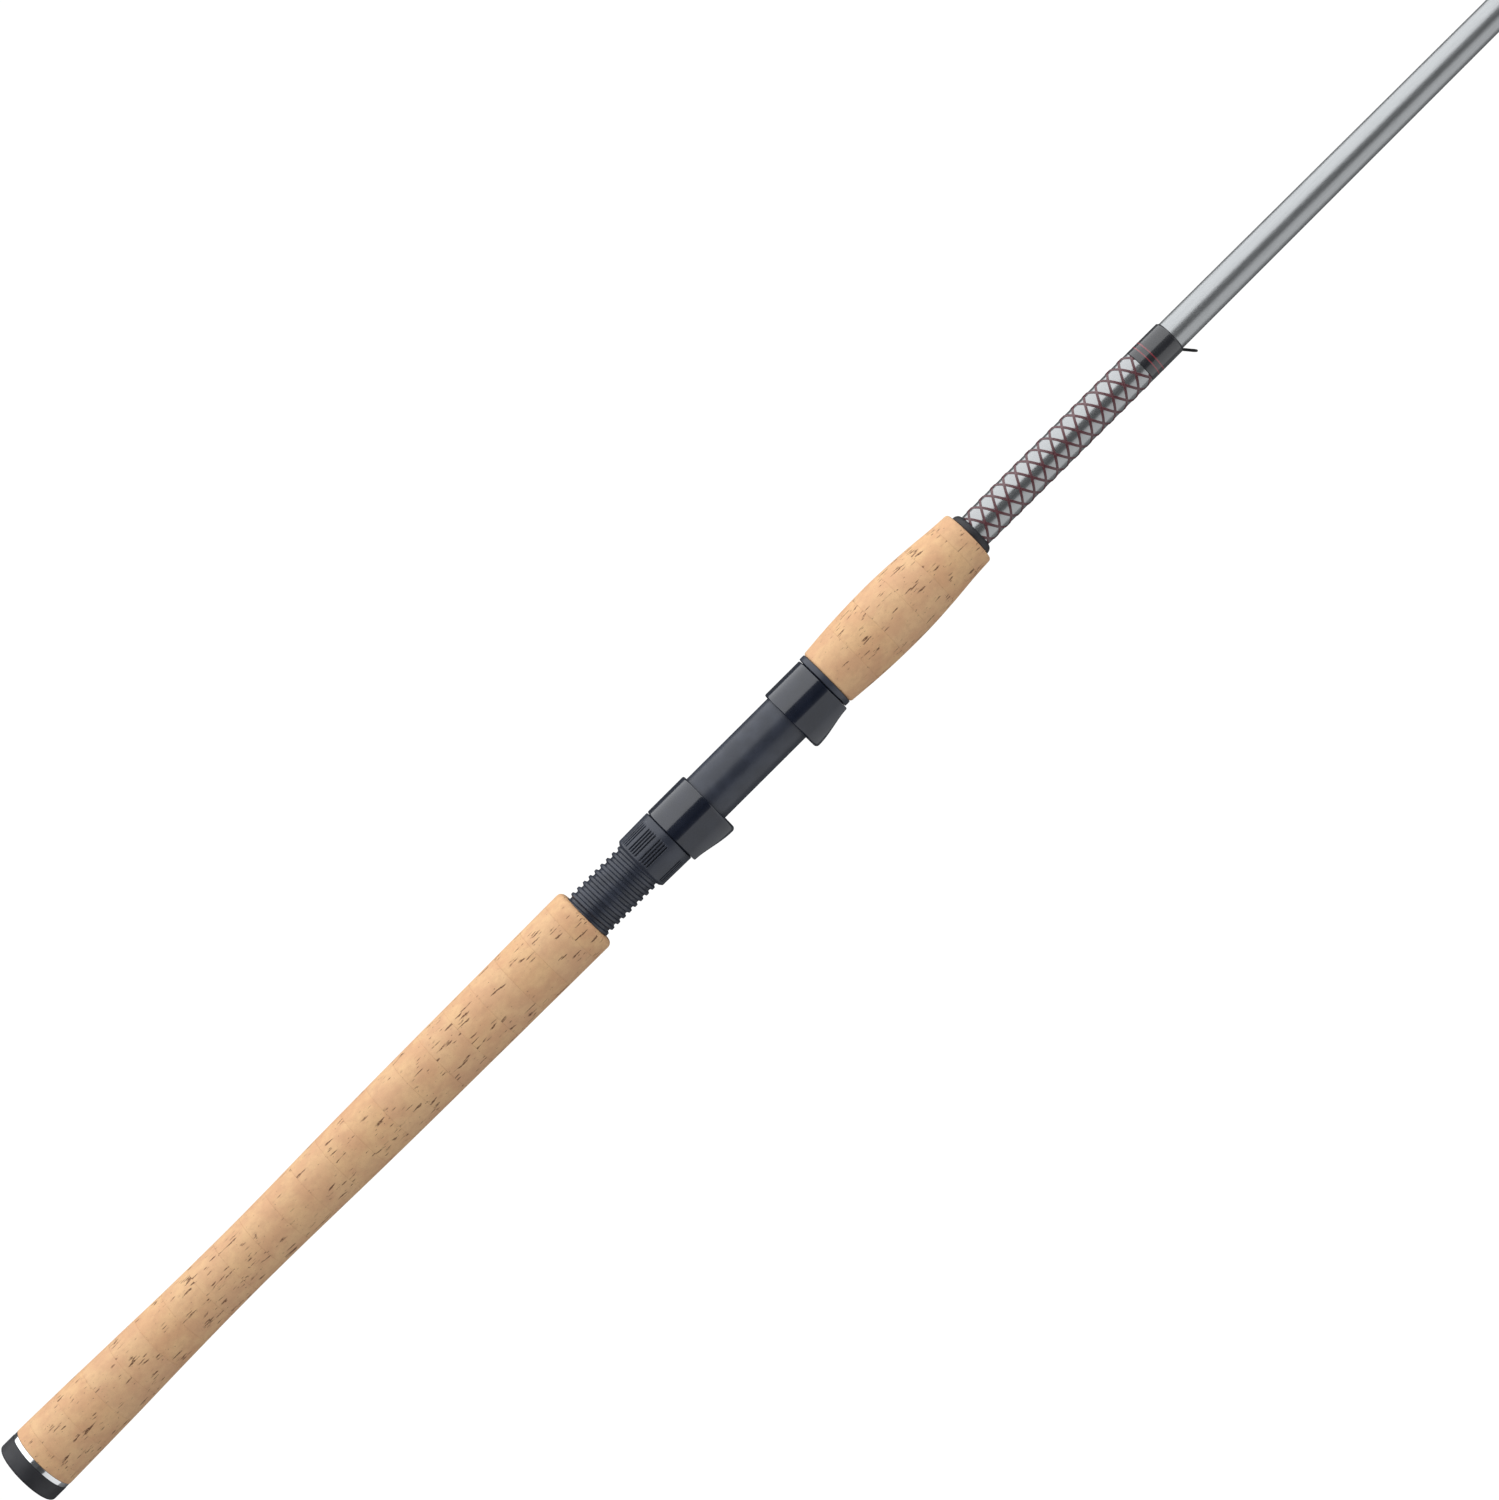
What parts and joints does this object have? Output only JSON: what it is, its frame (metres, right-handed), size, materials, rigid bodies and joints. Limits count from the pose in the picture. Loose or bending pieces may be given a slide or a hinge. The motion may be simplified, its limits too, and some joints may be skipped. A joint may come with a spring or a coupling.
{
  "type": "spinning rod",
  "caption": "Two-piece spinning rod with waisted cork grips, a threaded reel seat with a sliding hood, crossed decorative thread wrap, hook keeper and ringed line guides.",
  "frame": {"origin": "centre of the butt cap's flat end face", "axes": "+X along the rod from butt to tip, +Z away from the reel and the line guides, +Y completes a right-handed set"},
  "size_m": [2.134, 0.0318, 0.0603],
  "materials": {
    "rubber_black": "moulded, slight sheen",
    "bright_metal": "polished",
    "cork": "natural cork, sanded, with dark pores and streaks",
    "seat_matte": "moulded blue-grey, satin",
    "arbor_board": "rigid foam",
    "hood_gloss": "polished blue-grey",
    "blank_grey": "satin metallic lacquer over fibre composite",
    "wrap_thread": "maroon winding thread",
    "wrap_coat": "clear high-gloss finish over the grey tube",
    "wrap_dark": "dark winding thread under clear finish",
    "black_wire": "black lacquered wire",
    "guide_metal": "dark plated stainless steel",
    "ring_ceramic": "polished black ceramic"
  },
  "bodies": {
    "rod_butt": {"butt_cap": "rubber_black", "butt_trim_ring": "bright_metal", "rear_cork_ring_01": "cork", "rear_cork_ring_02": "cork", "rear_cork_ring_03": "cork", "rear_cork_ring_04": "cork", "rear_cork_ring_05": "cork", "rear_cork_ring_06": "cork", "rear_cork_ring_07": "cork", "rear_cork_ring_08": "cork", "rear_cork_ring_09": "cork", "rear_cork_ring_10": "cork", "rear_cork_ring_11": "cork", "rear_cork_ring_12": "cork", "rear_cork_ring_13": "cork", "rear_cork_ring_14": "cork", "rear_cork_ring_15": "cork", "rear_cork_ring_16": "cork", "rear_cork_ring_17": "cork", "rear_cork_ring_18": "cork", "rear_cork_ring_19": "cork", "rear_cork_ring_20": "cork", "rear_cork_ring_21": "cork", "rear_cork_ring_22": "cork", "reel_seat_body": "seat_matte", "seat_arbors": "arbor_board", "fixed_hood": "hood_gloss", "fore_cork_ring_01": "cork", "fore_cork_ring_02": "cork", "fore_cork_ring_03": "cork", "fore_cork_ring_04": "cork", "fore_cork_ring_05": "cork", "fore_cork_ring_06": "cork", "winding_check": "rubber_black", "butt_blank": "blank_grey", "diamond_wrap": "wrap_thread", "wrap_finish": "wrap_coat", "hook_keeper": "black_wire", "keeper_wrap": "wrap_dark", "guide_1_frame": "guide_metal", "guide_1_ring": "ring_ceramic", "guide_wraps_butt": "wrap_dark"},
    "hood_slider": {"moving_hood": "hood_gloss"},
    "nut": {"lock_nut": "seat_matte"},
    "rod_tip": {"tip_blank": "blank_grey", "ferrule_wrap": "wrap_dark", "guide_2_frame": "guide_metal", "guide_2_ring": "ring_ceramic", "guide_3_frame": "guide_metal", "guide_3_ring": "ring_ceramic", "guide_4_frame": "guide_metal", "guide_4_ring": "ring_ceramic", "guide_5_frame": "guide_metal", "guide_5_ring": "ring_ceramic", "guide_6_frame": "guide_metal", "guide_6_ring": "ring_ceramic", "guide_wraps_tip": "wrap_dark", "tip_top_frame": "guide_metal", "tip_top_ring": "ring_ceramic"}
  },
  "joints": [
    {"name": "nut_turn", "type": "hinge", "parent": "hood_slider", "child": "nut", "pos_m": [0.3118, 0, 0], "axis": [1, 0, 0], "range_deg": [-3125, 1380]},
    {"name": "hood_slide", "type": "slide", "parent": "rod_butt", "child": "hood_slider", "axis": [1, 0, 0], "range_m": [-0.0248, 0.0109]},
    {"name": "tip_pull", "type": "slide", "parent": "rod_butt", "child": "rod_tip", "axis": [1, 0, 0], "range_m": [0, 0.09]}
  ],
  "couplings": [
    {"joint": "nut_turn", "follows": "hood_slide", "rad_per_m": 2190.8}
  ]
}
